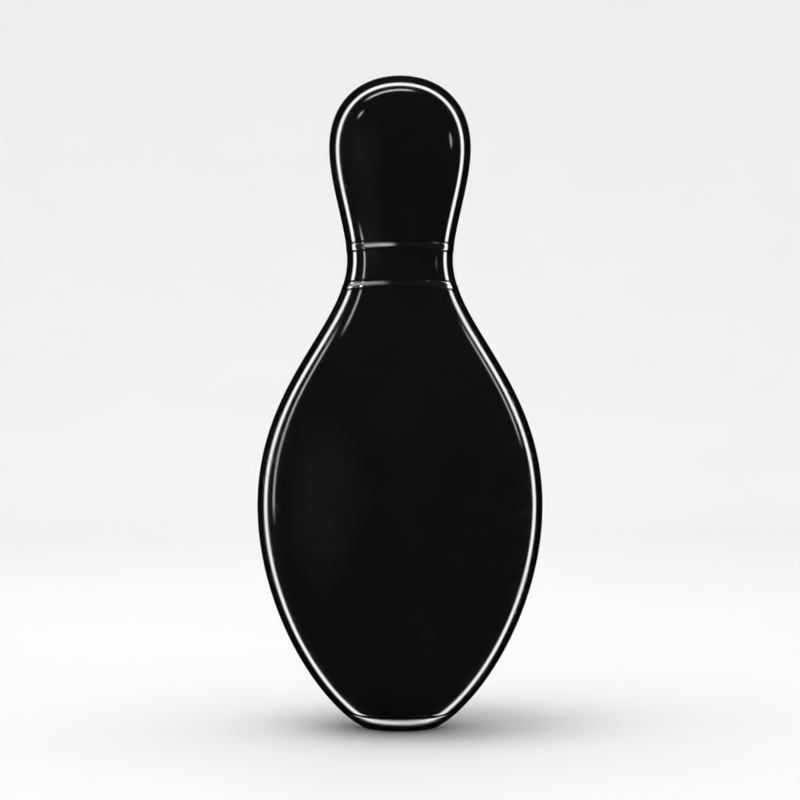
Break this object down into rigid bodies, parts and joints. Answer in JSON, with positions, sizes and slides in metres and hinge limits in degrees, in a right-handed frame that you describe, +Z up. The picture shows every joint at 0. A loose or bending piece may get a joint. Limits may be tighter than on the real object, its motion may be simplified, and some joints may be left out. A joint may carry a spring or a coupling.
{
  "type": "bowling pin",
  "caption": "Free-standing bowling pin of duckpin proportions: small round head, waisted neck and wide egg-shaped belly, made to be knocked over by a rolled ball.",
  "frame": {"origin": "middle of the flat foot, where the pin's axis meets the floor", "axes": "+Z up along the pin's axis, through the crown of its head. The pin is round, so X and Y follow the glued boards: the three core planks lie side by side along X, -X is left and -Y is the front"},
  "size_m": [0.1048, 0.1048, 0.2389],
  "materials": {
    "black_ionomer": "gloss",
    "black_nylon": "satin",
    "silver_foil": "gloss",
    "maple": "satin"
  },
  "bodies": {
    "root": {"plastic_jacket": "black_ionomer", "base_ring": "black_nylon", "neck_stripe_upper": "silver_foil", "neck_stripe_lower": "silver_foil", "core_plank_left": "maple", "core_plank_middle": "maple", "core_plank_right": "maple", "belly_block_left_inner": "maple", "belly_block_left_outer": "maple", "belly_block_right_inner": "maple", "belly_block_right_outer": "maple", "belly_block_front_inner": "maple", "belly_block_front_outer": "maple", "belly_block_back_inner": "maple", "belly_block_back_outer": "maple"}
  },
  "joints": []
}
